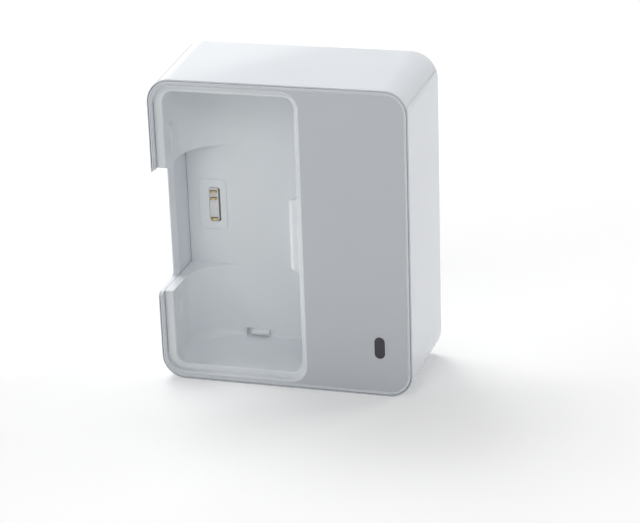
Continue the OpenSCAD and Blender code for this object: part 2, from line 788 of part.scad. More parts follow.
// Sleeve round the middle leg with a flange at each end and feet on the board
module transformer_bobbin() {
    y0 = window_y0 + fit;
    y1 = window_y1 - fit;
    hole = [leg / 2 + fit, core_t / 2 + fit];
    flange = [leg / 2 + window_w - fit, bobbin_half];
    color("tan") difference() {
        union() {
            centred_box(hole + [bobbin_t, bobbin_t], y0, y1);
            centred_box(flange, y0, y0 + flange_t);
            centred_box(flange, y1 - flange_t, y1);
            for (side = [-1, 1]) bobbin_foot(side, flange, y1);
        }
        centred_box(hole, window_y0 - past, window_y1 + past);
    }
}
module bobbin_foot(side, flange, y0) {
    inner = core_t / 2 + fit;
    z0 = side > 0 ? core_z + inner : core_z - flange[1];
    box([board_cx - flange[0], y0 - eps, z0], [board_cx + flange[0], board_y, z0 + flange[1] - inner]);
}
module transformer_winding() {
    sleeve = bobbin_t + 2 * fit;
    hole = [leg / 2 + sleeve, core_t / 2 + sleeve];
    y0 = window_y0 + flange_t + 2 * fit;
    y1 = window_y1 - flange_t - 2 * fit;
    color("gold") difference() {
        centred_box([leg / 2 + window_w - 2 * fit, bobbin_half - 3 * fit], y0, y1);
        centred_box(hole, y0 - past, y1 + past);
    }
}
// Box round the transformer's axis: half sizes in X and Z
module centred_box(half, y0, y1) {
    box([board_cx - half[0], y0, core_z - half[1]], [board_cx + half[0], y1, core_z + half[1]]);
}

// Can-shaped capacitor that stands on the board, with a sealed rim
module can(place, d, l) {
    y0 = board_y - l;
    color("midnightblue") {
        rod_y(place, d / 2, y0 + cap_rim, board_y);
        rod_y(place, d / 2 - cap_rim, y0, y0 + cap_rim + eps);
    }
}
module input_capacitors() {
    for (x = [parts_x0 + cap_d / 2, parts_x1 - cap_d / 2]) can([x, cap_z], cap_d, cap_l);
}
module output_capacitor() {
    can([parts_x0 + out_cap_d / 2, output_top - out_cap_d / 2], out_cap_d, out_cap_l);
}
// Drum of the filter choke with its winding
module filter_choke() {
    place = [parts_x0 + choke_d / 2, choke_z];
    y0 = board_y - choke_l;
    color("saddlebrown") {
        rod_y(place, choke_d / 2, board_y - choke_end, board_y);
        rod_y(place, choke_d / 2 - bobbin_t, y0 + choke_end - eps, board_y - choke_end + eps);
        rod_y(place, choke_d / 2, y0, y0 + choke_end);
    }
}
// A round part with bent leads, lying along X with its right end inside the board's edge
module tube(z, d) {
    y = board_y - d / 2 - pin_r;
    x1 = board_x1 - post_inset - post_r;
    x0 = x1 - tube_l;
    difference() {
        union() {
            rod_x([y, z], d / 2, x0, x1);
            rod_x([y, z], pin_r, x0 - tube_lead, x1 + tube_lead);
            for (x = [x0 - tube_lead, x1 + tube_lead]) rod_y([x, z], pin_r, y, board_back + pin_l);
        }
        box([board_x0 - past, board_y, board_z], [board_x1 + past, board_back + pin_l + past, board_top]);
    }
}
module fuse() {
    color("cornflowerblue") tube(fuse_z, fuse_d);
}
module output_diode() {
    color("black") tube(diode_top - diode_d / 2, diode_d);
}
// Moulded package on the front of the board: its left edge, upper edge and size
module package(x, top, size) {
    box([x, board_y - size[1], top - size[2]], [x + size[0], board_y, top]);
}
module bridge_rectifier() {
    color("black") package(parts_x0 + choke_d + row_gap, mains_top, [bridge_w, package_t, bridge_h]);
}
module optocoupler() {
    color("black") package(parts_x0, diode_top, [opto_w, package_t, opto_w]);
}
module charge_controller() {
    color("black") package(parts_x1 - chip_w, output_top, [chip_w, chip_t, chip_w]);
}
module power_controller() {
    color("black") box([board_cx, board_back, core_z + bobbin_half],
        [board_cx + power_w, board_back + chip_t, core_z + bobbin_half + power_h]);
}
// Disc of the safety capacitor, in the room beside the transformer core
module safety_capacitor() {
    x = board_cx + core_w / 2 + (core_side - disc_t) / 2;
    color("royalblue") rod_x([board_y - disc_d / 2, core_z], disc_d / 2, x, x + disc_t);
}
// Round lamp behind the window and the sleeve that holds it off the board
module status_lamp() {
    color("lightyellow") {
        rod_y([lens_x, lens_z], lamp_d / 2, lamp_y0, lamp_y1);
        for (side = [-1, 1]) rod_y([lens_x + side * lamp_d / 4, lens_z], pin_r, lamp_y1 - eps, board_y);
    }
}
module lamp_spacer() {
    color("white") difference() {
        rod_y([lens_x, lens_z], lamp_d / 2 + sleeve_t, lamp_y0 + lamp_l / 3, board_y);
        rod_y([lens_x, lens_z], lamp_d / 2 + tight, lamp_y0, lamp_y1 + tight);
        for (side = [-1, 1])
            rod_y([lens_x + side * lamp_d / 4, lens_z], pin_r + tight, lamp_y0, board_y + past);
    }
}

housing();
front_cover();
bay_liner();
rear_plate();
indicator_lens();
contact_block();
contact(contact_places[0]);  // contact_positive
contact(contact_places[1]);  // contact_sense
contact(contact_places[2]);  // contact_negative
contact_board();
contact_leads();
blade(1);  // blade_line
blade(-1);  // blade_neutral
blade_leads();
case_screws();
main_board();
board_screws();
transformer_core();
transformer_bobbin();
transformer_winding();
input_capacitors();
output_capacitor();
filter_choke();
fuse();
bridge_rectifier();
safety_capacitor();
optocoupler();
output_diode();
power_controller();
charge_controller();
status_lamp();
lamp_spacer();
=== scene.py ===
import json
import math

import bmesh
import bpy
from mathutils import Matrix, Quaternion, Vector


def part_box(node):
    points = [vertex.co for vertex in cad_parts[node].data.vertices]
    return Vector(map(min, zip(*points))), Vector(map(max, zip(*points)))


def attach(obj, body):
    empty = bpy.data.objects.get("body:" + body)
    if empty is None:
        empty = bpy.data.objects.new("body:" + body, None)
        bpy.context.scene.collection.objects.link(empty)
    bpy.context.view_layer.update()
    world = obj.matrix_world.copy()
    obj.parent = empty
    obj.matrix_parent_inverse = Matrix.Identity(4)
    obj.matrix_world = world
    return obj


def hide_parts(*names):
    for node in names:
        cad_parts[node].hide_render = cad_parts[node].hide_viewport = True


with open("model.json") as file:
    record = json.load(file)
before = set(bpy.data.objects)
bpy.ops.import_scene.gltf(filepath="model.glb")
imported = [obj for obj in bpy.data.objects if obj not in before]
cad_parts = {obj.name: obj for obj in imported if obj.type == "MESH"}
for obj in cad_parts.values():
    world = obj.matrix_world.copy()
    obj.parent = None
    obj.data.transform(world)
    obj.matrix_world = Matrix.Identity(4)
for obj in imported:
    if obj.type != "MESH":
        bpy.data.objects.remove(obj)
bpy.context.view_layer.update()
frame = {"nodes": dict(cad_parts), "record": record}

# Wall charger for a battery pack. Lengths are in millimetres, in the frame of the CAD model:
# X runs to the right, Y to the back, Z up.

MM = 0.001
CORNER_STEPS = 16  # spans of a quarter corner
EDGE_STEPS = 5  # spans of a rounded edge
FINE_STEPS = 3  # spans of a very small one
PAST = 1.0  # how far a cutter reaches past the surface that it cuts


def cad_box(node):
    """Lowest and highest corner of a CAD node in millimetres."""
    low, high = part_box(node)
    return low / MM, high / MM


# Boxes of the frame that the shapes are built in
HOUSING_LOW, HOUSING_HIGH = cad_box("housing")
COVER_HIGH = cad_box("front_cover")[1]
LINER_LOW, LINER_HIGH = cad_box("bay_liner")
PLATE_HIGH = cad_box("rear_plate")[1]
LENS_LOW, LENS_HIGH = cad_box("indicator_lens")

# Case. The flares are how far each side and the top widen from front to back.
SIDE_FLARE = 0.94
TOP_FLARE = 2.0
CORNER_R = 6.9
FRONT = HOUSING_LOW.y
BACK = HOUSING_HIGH.y
DEPTH = BACK - FRONT
HALF_W = HOUSING_HIGH.x - SIDE_FLARE
TOP = HOUSING_HIGH.z - TOP_FLARE
WALL = 1.25
LIP = 0.35
LIP_ROUND = 0.28
SEAT = 1.3  # depth of the recess that takes the cover's edge
LEDGE = 0.6  # ledge that the rear plate lies on
BACK_ROUND = 0.8
PLATE_T = 2.0
PLATE_FRONT = PLATE_HIGH.y - PLATE_T

# Screw bosses: distance from the case's ends and sides, sizes of boss, web and pilot hole
BOSS_END, BOSS_SIDE, BOSS_LENGTH, BOSS_R = 7.0, 4.8, 6.25, 2.4
WEB_T = 2.0
PILOT_R, PILOT_START = 1.05, 0.3

# Front cover
COVER_BACK = COVER_HIGH.y
COVER_INSET = HALF_W - COVER_HIGH.x
COVER_FIT = 0.1
COVER_SKIRT = WALL + COVER_FIT
BEAD, BEAD_STEPS = 0.5, 8
GROOVE = 0.45
GROOVE_DEPTH = 0.4
PANEL_DROP = 0.12
PANEL_INSET = COVER_INSET + BEAD + GROOVE
PANEL_EDGE = 0.08  # chamfer of the panel at the groove
PANEL = FRONT + PANEL_DROP

# Battery bay, with the rim behind the cover's mouth
BAY_WALL = 1.6
BAY_SIDE = 3.9
BAY_LEFT = -HALF_W + BAY_SIDE
RIM = 1.7
FLANGE_LAP = 1.6
BAY_RIGHT = LINER_HIGH.x - FLANGE_LAP - RIM
BAY_FLOOR = 4.0
BAY_TOP = 85.9
BAY_BACK = LINER_HIGH.y - BAY_WALL
BAY_CORNER_R = 13.0  # left rear corner, seen from above
BAY_INNER_R = 2.5  # right rear corner, seen from above
BAY_R = 3.0  # corners seen from the front
BAY_BACK_ROUND = 0.8
FLANGE_R = 1.0
RIM_COVERED = 0.55  # part of the rim that the panel hides on the right
MOUTH_FIT = 0.05
MOUTH_LEFT = -HALF_W + WALL + MOUTH_FIT
MOUTH_RIGHT = BAY_RIGHT + RIM - RIM_COVERED
MOUTH_R = 4.4
MOUTH_LEFT_R = CORNER_R - COVER_SKIRT
MOUTH_ROUND = 0.65
MOUTH_SIDE_ROUND, MOUTH_STEPS = 0.9, 9
RIM_ROUND = 0.5
SEAM = 0.02  # keeps the liner's left end off the case's wall

# Finger notch
NOTCH_LOW = 26.2
NOTCH_HIGH = 63.2
NOTCH_REACH = 14.55
NOTCH_BACK = FRONT + NOTCH_REACH
NOTCH_RIGHT = BAY_LEFT + BAY_CORNER_R
NOTCH_R = 2.0  # rear corners of the opening in the case's side
NOTCH_ROUND = 0.35  # its outer edge
NOTCH_EDGE = 0.5  # how far its back edge stands in front of the notch's back
NOTCH_CURVE_ROUND, NOTCH_CURVE_STEPS = 0.7, 4
NOTCH_SLANT_W, NOTCH_SLANT = 1.35, 1.4  # width and depth of the slant behind that edge
NOTCH_LIP_R = 1.4  # front corner below the notch
HOOK_DROP, HOOK_RISE = 0.9, 1.3  # slanted end of the case's wall above the notch

# Contact pad on the back wall, with the slot for the contacts
PAD_PLACE = 5.15
PAD_X = BAY_LEFT + PAD_PLACE
PAD_Z = 44.65
PAD_W, PAD_H, PAD_R = 8.5, 15.3, 1.1
PAD_ROUND = 0.2
PAD_RISE = 0.4
PAD_FRONT = BAY_BACK - PAD_RISE
SLOT_W, SLOT_H, SLOT_R, SLOT_ROUND = 3.38, 10.4, 0.7, 0.15
SLOT_OFF_CENTRE = 0.6
SLOT_LEFT = PAD_X + SLOT_OFF_CENTRE - SLOT_W / 2

# Small ribs of the bay
RIB_GAP = 0.2
RIB_FRONT = COVER_BACK + BAY_WALL + RIB_GAP
RIB_T, RIB_OUT, RIB_H = 3.2, 3.3, 20.4
RIB_CHAMFER, RIB_SLANT, RIB_ROUND = 1.3, RIB_OUT / 3, 0.25
TAB_PLACE = 15.6
TAB_X = BAY_LEFT + TAB_PLACE
TAB_W, TAB_OUT, TAB_TOP, TAB_GAP = 5.4, 1.5, 2.2, 0.5
TAB_CHAMFER, TAB_ROUND = 0.5, 0.15
TAB_SLOT_W, TAB_SLOT_DEPTH = 2.0, 1.3
SNAP_PLACE = 7
SNAP_Y = FRONT + SNAP_PLACE
SNAP_T, SNAP_OUT, SNAP_H, SNAP_END, SNAP_ROUND = 1.2, 0.55, 8.3, 11.0, 0.2

# Indicator window
LENS_X = (LENS_LOW.x + LENS_HIGH.x) / 2
LENS_Z = (LENS_LOW.z + LENS_HIGH.z) / 2
LENS_W, LENS_H = 2.9, 6.45
LENS_GAP = 0.05
LENS_STOP = 0.8
LENS_FACE = ((0.45, 0.0), (0.2, 0.015), (0.08, 0.05), (0.0, 0.14))  # (inset, drop) of its dome
WINDOW_ROUND = 0.15


# Outlines and rings

def arc(x, z, radius, start):
    """A quarter arc round (x, z) in the XZ plane, from the angle start in degrees."""
    angles = [math.radians(start + 90 * i / CORNER_STEPS) for i in range(CORNER_STEPS + 1)]
    return [(x + radius * math.cos(a), z + radius * math.sin(a)) for a in angles]


def round_rect(x0, z0, x1, z1, left_r, right_r=None):
    """Rectangle with round corners, whose left and right corners may differ."""
    right_r = left_r if right_r is None else right_r
    return (arc(x1 - right_r, z1 - right_r, right_r, 0)
            + arc(x0 + left_r, z1 - left_r, left_r, 90)
            + arc(x0 + left_r, z0 + left_r, left_r, 180)
            + arc(x1 - right_r, z0 + right_r, right_r, 270))


def case_outline(inset, y=FRONT):
    """Outline of the flared case at the depth y, moved inwards."""
    share = (y - FRONT) / DEPTH
    side = HALF_W + SIDE_FLARE * share - inset
    radius = CORNER_R + SIDE_FLARE * share - inset
    return round_rect(-side, inset, side, TOP + TOP_FLARE * share - inset, radius)


def ring(outline, y):
    """An outline in X and Z as points at the depth y."""
    return [Vector((x, y, z)) for x, z in outline]


def front_ring(inset, y):
    """The front outline, moved inwards, at the depth y."""
    return ring(case_outline(inset), y)


def round_over(radius, steps=EDGE_STEPS):
    """(depth, growth) pairs of a rounded edge of an opening, from its surface inwards."""
    angles = [math.radians(90 * i / steps) for i in range(steps + 1)]
    return [(radius * (1 - math.cos(a)), radius * (1 - math.sin(a))) for a in angles]


# Meshes

SAME_POINT = 0.002
SHARP_EDGE = 25  # degrees from which an edge is rounded
SMOOTH_EDGE = 32  # degrees up to which an edge is shaded smooth


def mesh_piece(name, vertices, faces):
    """A mesh object from points in millimetres."""
    mesh = bpy.data.meshes.new(name)
    mesh.from_pydata([v * MM for v in vertices], [], faces)
    piece = bpy.data.objects.new(name, mesh)
    bpy.context.scene.collection.objects.link(piece)
    edit(piece, lambda bm: bmesh.ops.recalc_face_normals(bm, faces=bm.faces))
    return piece


def solid(name, rings, closed=False):
    """A solid through rings of equal length, capped at both ends or closed to a loop."""
    count = len(rings[0])
    vertices = [v for r in rings for v in r]
    spans = len(rings) if closed else len(rings) - 1
    faces = []
    for i in range(spans):
        a, b = i * count, (i + 1) % len(rings) * count
        for j in range(count):
            k = (j + 1) % count
            faces.append((a + j, a + k, b + k, b + j))
    if not closed:
        faces.append(tuple(range(count)))
        faces.append(tuple(range(len(vertices) - count, len(vertices))))
    return mesh_piece(name, vertices, faces)


def box_piece(name, low, high):
    """A box between two corners."""
    ends = ((low[0], low[2]), (high[0], low[2]), (high[0], high[2]), (low[0], high[2]))
    return solid(name, [ring(ends, low[1]), ring(ends, high[1])])


def along_x(name, profile, ends):
    """A solid along X between two ends, from a profile of (y, z) points."""
    return solid(name, [[Vector((x, y, z)) for y, z in profile] for x in ends])


def rod_y(name, x, z, radius, y0, y1):
    """A cylinder along Y."""
    outline = round_rect(x - radius, z - radius, x + radius, z + radius, radius)
    return solid(name, [ring(outline, y0), ring(outline, y1)])


def edit(piece, change):
    """Runs a bmesh change on a piece."""
    bm = bmesh.new()
    bm.from_mesh(piece.data)
    bmesh.ops.remove_doubles(bm, verts=bm.verts, dist=SAME_POINT * MM)
    change(bm)
    bm.to_mesh(piece.data)
    bm.free()


def combine(piece, other, operation):
    """Cuts another piece out of this one or joins it, and removes the other."""
    modifier = piece.modifiers.new("combine", "BOOLEAN")
    modifier.operation = operation
    modifier.solver = "EXACT"
    modifier.object = other
    depsgraph = bpy.context.evaluated_depsgraph_get()
    result = bpy.data.meshes.new_from_object(piece.evaluated_get(depsgraph))
    piece.modifiers.clear()
    piece.data = result
    bpy.data.objects.remove(other)


def cut(piece, other):
    """Cuts the other piece out of this one."""
    combine(piece, other, "DIFFERENCE")


def join(piece, other):
    """Joins the other piece to this one."""
    combine(piece, other, "UNION")


def soften(piece, chosen, radius, segments=3):
    """Rounds the sharp edges whose both ends pass a test on points in millimetres."""
    def change(bm):
        edges = [e for e in bm.edges if len(e.link_faces) == 2
                 and e.calc_face_angle(0) > math.radians(SHARP_EDGE)
                 and all(chosen(v.co / MM) for v in e.verts)]
        bmesh.ops.bevel(bm, geom=edges, offset=radius * MM, segments=segments, profile=0.5,
                        affect="EDGES", clamp_overlap=True)
    edit(piece, change)


def shade(piece):
    """Smooth shading that stops at sharper edges."""
    piece.data.polygons.foreach_set("use_smooth", [True] * len(piece.data.polygons))
    piece.data.set_sharp_from_angle(angle=math.radians(SMOOTH_EDGE))
    modifier = piece.modifiers.new("normals", "WEIGHTED_NORMAL")
    modifier.keep_sharp = True


def dress(piece, material, slot, *nodes):
    """Gives a piece its material and its place in the frame."""
    piece.data.materials.clear()
    piece.data.materials.append(material)
    shade(piece)
    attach(piece, "root")
    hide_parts(*nodes)


# Shells

def make_housing():
    """The outer tub: lip, flared sides, rounded back edge, seat and straight cavity."""
    rings = [front_ring(LIP, FRONT)]
    rings += [ring(case_outline(growth, FRONT + depth), FRONT + depth)
              for depth, growth in round_over(LIP_ROUND, FINE_STEPS)]
    rings += [ring(case_outline(growth, BACK - depth), BACK - depth)
              for depth, growth in reversed(round_over(BACK_ROUND))]
    rings += [front_ring(WALL - LEDGE, BACK), front_ring(WALL - LEDGE, PLATE_FRONT)]
    rings += [front_ring(WALL, PLATE_FRONT), front_ring(WALL, FRONT + SEAT)]
    rings += [front_ring(LIP, FRONT + SEAT)]
    housing = solid("housing_shell", rings, closed=True)
    for side in (-1, 1):
        for z in (BOSS_END, TOP - BOSS_END):
            add_boss(housing, side, z)
    cut(housing, notch_side_cutter())
    return housing


def add_boss(housing, side, z):
    """Screw boss with its web to the side wall."""
    x = side * (HALF_W - BOSS_SIDE)
    reach = side * (HALF_W - WALL / 2)
    front = PLATE_FRONT - BOSS_LENGTH
    join(housing, box_piece("web", (min(x, reach), front, z - WEB_T / 2),
                            (max(x, reach), PLATE_FRONT, z + WEB_T / 2)))
    join(housing, rod_y("boss", x, z, BOSS_R, front, PLATE_FRONT))
    cut(housing, rod_y("pilot", x, z, PILOT_R, front + PILOT_START, PLATE_FRONT + PAST))


def notch_sill(low):
    """Round front corner below the notch, as (y, z) points from the front to its floor."""
    corner = arc(FRONT + NOTCH_LIP_R, low - NOTCH_LIP_R, NOTCH_LIP_R, 90)
    return [(FRONT - PAST, low - NOTCH_LIP_R), *reversed(corner)]


def notch_section(depth, growth, inner=0.0):
    """The notch's outline at a depth inside the case's flared left side.

    It is larger by the growth, and its back edge lies further back by the inner value.
    """
    low = NOTCH_LOW - growth
    high = NOTCH_HIGH + growth - HOOK_DROP + HOOK_RISE * min(depth, WALL) / WALL
    back = NOTCH_BACK - NOTCH_EDGE + growth + inner
    corners = [*notch_sill(low), *arc(back - NOTCH_R, low + NOTCH_R, NOTCH_R, 270),
               *arc(back - NOTCH_R, high - NOTCH_R, NOTCH_R, 0), (FRONT - PAST, high)]
    return [Vector((depth - HALF_W - SIDE_FLARE * (y - FRONT) / DEPTH, y, z)) for y, z in corners]


def notch_side_cutter():
    """Cutter of the finger notch, with a rounded outer edge, a slanted back and ceiling."""
    rings = [notch_section(-PAST, NOTCH_ROUND)]
    rings += [notch_section(depth, growth) for depth, growth in round_over(NOTCH_ROUND)]
    rings += [notch_section(depth, 0, NOTCH_SLANT)
              for depth in (NOTCH_ROUND + NOTCH_SLANT_W, BAY_CORNER_R)]
    return solid("notch_cutter", rings)


def notch_front_cutter():
    """Cutter of the notch in the front cover."""
    back = COVER_BACK + PAST
    profile = [*notch_sill(NOTCH_LOW), (back, NOTCH_LOW), (back, NOTCH_HIGH),
               (FRONT - PAST, NOTCH_HIGH)]
    return along_x("notch_front", profile, (-HALF_W - PAST, NOTCH_RIGHT))


def bead_rings():
    """Rings over the half-round bead, from its outer to its inner foot."""
    radius = BEAD / 2
    turns = [math.radians(180 * i / BEAD_STEPS) for i in range(BEAD_STEPS + 1)]
    return [front_ring(COVER_INSET + radius - radius * math.cos(a),
                       FRONT + radius * (1 - math.sin(a))) for a in turns]


def make_cover():
    """The front cover: round bead, groove, sunk panel, mouth of the bay and window opening."""
    rings = [front_ring(COVER_SKIRT, COVER_BACK), front_ring(COVER_SKIRT, FRONT + SEAT),
             front_ring(COVER_INSET, FRONT + SEAT)]
    rings += bead_rings()
    rings += [front_ring(COVER_INSET + BEAD, FRONT + GROOVE_DEPTH),
              front_ring(PANEL_INSET, FRONT + GROOVE_DEPTH),
              front_ring(PANEL_INSET, PANEL + PANEL_EDGE),
              front_ring(PANEL_INSET + PANEL_EDGE, PANEL)]
    cover = solid("front_panel", rings)
    cut(cover, mouth_cutter())
    cut(cover, notch_front_cutter())
    cut(cover, window_cutter())
    return cover


def mouth_ring(right, rest, y):
    """Outline of the bay mouth at the depth y, its right and its other edges moved outwards."""
    return ring(round_rect(MOUTH_LEFT, BAY_FLOOR - RIM - rest,
                           MOUTH_RIGHT + right, BAY_TOP + RIM + rest,
                           MOUTH_LEFT_R + rest, MOUTH_R + right), y)


def edge_growth(radius, depth):
    """Growth of an opening with a rounded edge of a radius, at a depth below its surface."""
    inside = max(radius - depth, 0)
    return radius - math.sqrt(radius ** 2 - inside ** 2)


def mouth_cutter():
    """Cutter of the bay mouth, whose edge is rounder on the panel side."""
    rings = [mouth_ring(MOUTH_SIDE_ROUND, MOUTH_ROUND, FRONT - PAST)]
    for depth, growth in round_over(MOUTH_SIDE_ROUND, MOUTH_STEPS):
        rings.append(mouth_ring(growth, edge_growth(MOUTH_ROUND, depth), PANEL + depth))
    rings.append(mouth_ring(0, 0, COVER_BACK + PAST))
    return solid("mouth_cutter", rings)


def window_outline(grow=0.0):
    """Upright slot outline of the window, moved outwards."""
    w, h = LENS_W / 2 + grow, LENS_H / 2 + grow
    return round_rect(LENS_X - w, LENS_Z - h, LENS_X + w, LENS_Z + h, w)


def window_cutter():
    """Cutter of the window opening, with a fine rounded edge."""
    rings = [ring(window_outline(LENS_GAP + WINDOW_ROUND), FRONT - PAST)]
    rings += [ring(window_outline(LENS_GAP + growth), PANEL + depth)
              for depth, growth in round_over(WINDOW_ROUND, FINE_STEPS)]
    rings += [ring(window_outline(LENS_GAP), COVER_BACK + PAST)]
    return solid("window_cutter", rings)


def bay_span(y):
    """Left and right end of the bay at the depth y, between its round rear corners."""
    def pull(radius):
        inside = y - (BAY_BACK - radius)
        return radius - math.sqrt(max(radius ** 2 - inside ** 2, 0)) if inside > 0 else 0
    return BAY_LEFT + pull(BAY_CORNER_R), BAY_RIGHT - pull(BAY_INNER_R)


def bay_depths():
    """Depths that follow the bay's round rear corners."""
    turns = [math.radians(45 * i / CORNER_STEPS) for i in range(2 * CORNER_STEPS + 1)]
    return sorted({round(BAY_BACK - radius + radius * math.sin(a), 4)
                   for radius in (BAY_CORNER_R, BAY_INNER_R) for a in turns})


def pocket_ring(y, out=0.0):
    """Outline of the pocket at the depth y, moved outwards."""
    left, right = bay_span(y)
    return ring(round_rect(left - out, BAY_FLOOR - out, right + out, BAY_TOP + out, BAY_R + out), y)


def back_round(y):
    """How far the round edge along the back wall reaches in at the depth y."""
    inside = min(max(y - (BAY_BACK - BAY_BACK_ROUND), 0), BAY_BACK_ROUND)
    return BAY_BACK_ROUND - math.sqrt(BAY_BACK_ROUND ** 2 - inside ** 2)


def pocket_cutter():
    """Cutter of the bay's pocket, with a rounded edge at the rim and along the back wall."""
    rings = [pocket_ring(COVER_BACK - PAST, RIM_ROUND)]
    rings += [pocket_ring(COVER_BACK + depth, growth) for depth, growth in round_over(RIM_ROUND)]
    rings += [pocket_ring(y, -back_round(y)) for y in bay_depths()]
    return solid("pocket_cutter", rings)


def pocket_outside():
    """Outside of the pocket, behind the rim."""
    rings = [pocket_ring(y, BAY_WALL) for y in [COVER_BACK] + bay_depths()]
    rings.append(ring([(v.x, v.z) for v in rings[-1]], LINER_HIGH.y))
    return solid("pocket", rings)


def liner_notch_cutter():
    """Cutter of the notch box in the liner, with a rounded edge at the rim."""
    def section(growth, y):
        ends = ((-HALF_W - PAST, NOTCH_LOW - growth), (NOTCH_RIGHT, NOTCH_LOW - growth),
                (NOTCH_RIGHT, NOTCH_HIGH + growth), (-HALF_W - PAST, NOTCH_HIGH + growth))
        return ring(ends, y)
    rings = [section(RIM_ROUND, COVER_BACK - PAST)]
    rings += [section(growth, COVER_BACK + depth) for depth, growth in round_over(RIM_ROUND)]
    rings += [section(0, BAY_BACK)]
    return solid("liner_notch", rings)


def on_notch_curve(point):
    """Whether a point lies where the round wall of the bay meets the notch's floor or ceiling."""
    near, near_wall = 0.02, 0.05
    level = min(abs(point.z - NOTCH_LOW), abs(point.z - NOTCH_HIGH)) < near
    behind_rim = point.y > COVER_BACK + RIM_ROUND - near
    return level and behind_rim and abs(point.x - bay_span(point.y)[0]) < near_wall


def make_liner():
    """The bay liner: rim, pocket, notch box, contact pad and small ribs."""
    left = LINER_LOW.x + SEAM
    rim = round_rect(left, LINER_LOW.z, LINER_HIGH.x, LINER_HIGH.z, MOUTH_LEFT_R, FLANGE_R)
    liner = solid("bay_pocket", [ring(rim, COVER_BACK), ring(rim, COVER_BACK + BAY_WALL)])
    join(liner, pocket_outside())
    join(liner, box_piece("notch_box", (left, COVER_BACK, NOTCH_LOW - BAY_WALL),
                          (NOTCH_RIGHT, LINER_HIGH.y, NOTCH_HIGH + BAY_WALL)))
    cut(liner, pocket_cutter())
    cut(liner, liner_notch_cutter())
    soften(liner, on_notch_curve, NOTCH_CURVE_ROUND, NOTCH_CURVE_STEPS)
    join(liner, contact_pad())
    cut(liner, slot_cutter())
    join(liner, retaining_rib())
    cut(liner, box_piece("tab_slot", (TAB_X - TAB_SLOT_W, BAY_BACK - PAST, BAY_FLOOR),
                         (TAB_X, BAY_BACK + TAB_SLOT_DEPTH, BAY_FLOOR + TAB_TOP)))
    join(liner, locating_tab())
    for z in (BAY_FLOOR + SNAP_END, BAY_TOP - SNAP_END - SNAP_H):
        join(liner, snap_rib(z))
    return liner


def contact_pad():
    """Raised pad with a rounded edge."""
    def section(inset, y):
        w, h = PAD_W / 2 - inset, PAD_H / 2 - inset
        return ring(round_rect(PAD_X - w, PAD_Z - h, PAD_X + w, PAD_Z + h, PAD_R - inset), y)
    rings = [section(growth, PAD_FRONT + depth) for depth, growth in round_over(PAD_ROUND)]
    return solid("pad", rings + [section(0, BAY_BACK + BAY_WALL / 2)])


def slot_outline(grow=0.0):
    """Outline of the contact slot, moved outwards."""
    return round_rect(SLOT_LEFT - grow, PAD_Z - SLOT_H / 2 - grow,
                      SLOT_LEFT + SLOT_W + grow, PAD_Z + SLOT_H / 2 + grow, SLOT_R + grow)


def slot_cutter():
    """Cutter of the contact slot, with a fine rounded edge."""
    rings = [ring(slot_outline(SLOT_ROUND), PAD_FRONT - PAST)]
    rings += [ring(slot_outline(growth), PAD_FRONT + depth)
              for depth, growth in round_over(SLOT_ROUND, FINE_STEPS)]
    rings += [ring(slot_outline(), LINER_HIGH.y + PAST)]
    return solid("slot_cutter", rings)


def retaining_rib():
    """Upright rib on the right wall, with a chamfered tip, slanted ends and rounded edges."""
    low = (BAY_FLOOR + BAY_TOP - RIB_H) / 2
    high = low + RIB_H
    root, tip = BAY_RIGHT + BAY_WALL / 2, BAY_RIGHT - RIB_OUT
    back = RIB_FRONT + RIB_T
    plan = ((root, RIB_FRONT), (tip + RIB_CHAMFER, RIB_FRONT), (tip, RIB_FRONT + RIB_CHAMFER),
            (tip, back - RIB_CHAMFER / 2), (tip + RIB_CHAMFER / 2, back), (root, back))
    rings = []
    for end, sign in ((low, -1), (high, 1)):
        rings.append([Vector((x, y, end + sign * RIB_SLANT * (x - tip) / (root - tip)))
                      for x, y in plan])
    rib = solid("rib", rings)
    soften(rib, lambda p: p.x < BAY_RIGHT, RIB_ROUND)
    return rib


def locating_tab():
    """Locating tab in the corner of the floor and the back wall."""
    front, back = BAY_BACK - TAB_OUT, BAY_BACK + BAY_WALL / 2
    low, high = BAY_FLOOR + TAB_GAP, BAY_FLOOR + TAB_TOP
    profile = ((back, low), (front + TAB_CHAMFER, low), (front, low + TAB_CHAMFER),
               (front, high - TAB_CHAMFER), (front + TAB_CHAMFER, high), (back, high))
    tab = along_x("tab", profile, (TAB_X, TAB_X + TAB_W))
    soften(tab, lambda p: p.z > BAY_FLOOR and p.y < BAY_BACK, TAB_ROUND)
    return tab


def snap_rib(z):
    """Low snap rib on the left wall."""
    rib = box_piece("snap", (BAY_LEFT - BAY_WALL / 2, SNAP_Y, z),
                    (BAY_LEFT + SNAP_OUT, SNAP_Y + SNAP_T, z + SNAP_H))
    soften(rib, lambda p: p.x > BAY_LEFT, SNAP_ROUND)
    return rib


def make_lens():
    """Smoked window: flush, with a slightly domed face and its stop behind the cover."""
    seat = COVER_BACK + LENS_GAP
    rings = [ring(window_outline(-inset), PANEL + drop) for inset, drop in LENS_FACE]
    rings += [ring(window_outline(), seat), ring(window_outline(LENS_STOP), seat),
              ring(window_outline(LENS_STOP), LENS_HIGH.y)]
    return solid("smoked_lens", rings)


# Materials

# Colours of 0 to 255 as they show on the screen
WHITE = (229, 233, 238)
# Greyer colour of the cover's flat panel: painted shade of the front face, which the light from
# behind leaves in shade
PANEL_SHADE = (208, 212, 217)
LINER = (241, 245, 248)
PANEL_ROUGHNESS, PANEL_GRAIN = 0.3, 0.003

# Cells per metre of the broad tone, the roughness and the grain
TONE_SCALE, WEAR_SCALE, GRAIN_SCALE = 40, 220, 2600
WEAR_DETAIL, GRAIN_DETAIL = 4.0, 3.0
WEAR_SHARE = 0.12


def linear(colour):
    """Linear light from a colour of 0 to 255 as it shows on the screen."""
    return tuple((c / 255 / 12.92) if c <= 10 else ((c / 255 + 0.055) / 1.055) ** 2.4
                 for c in colour)


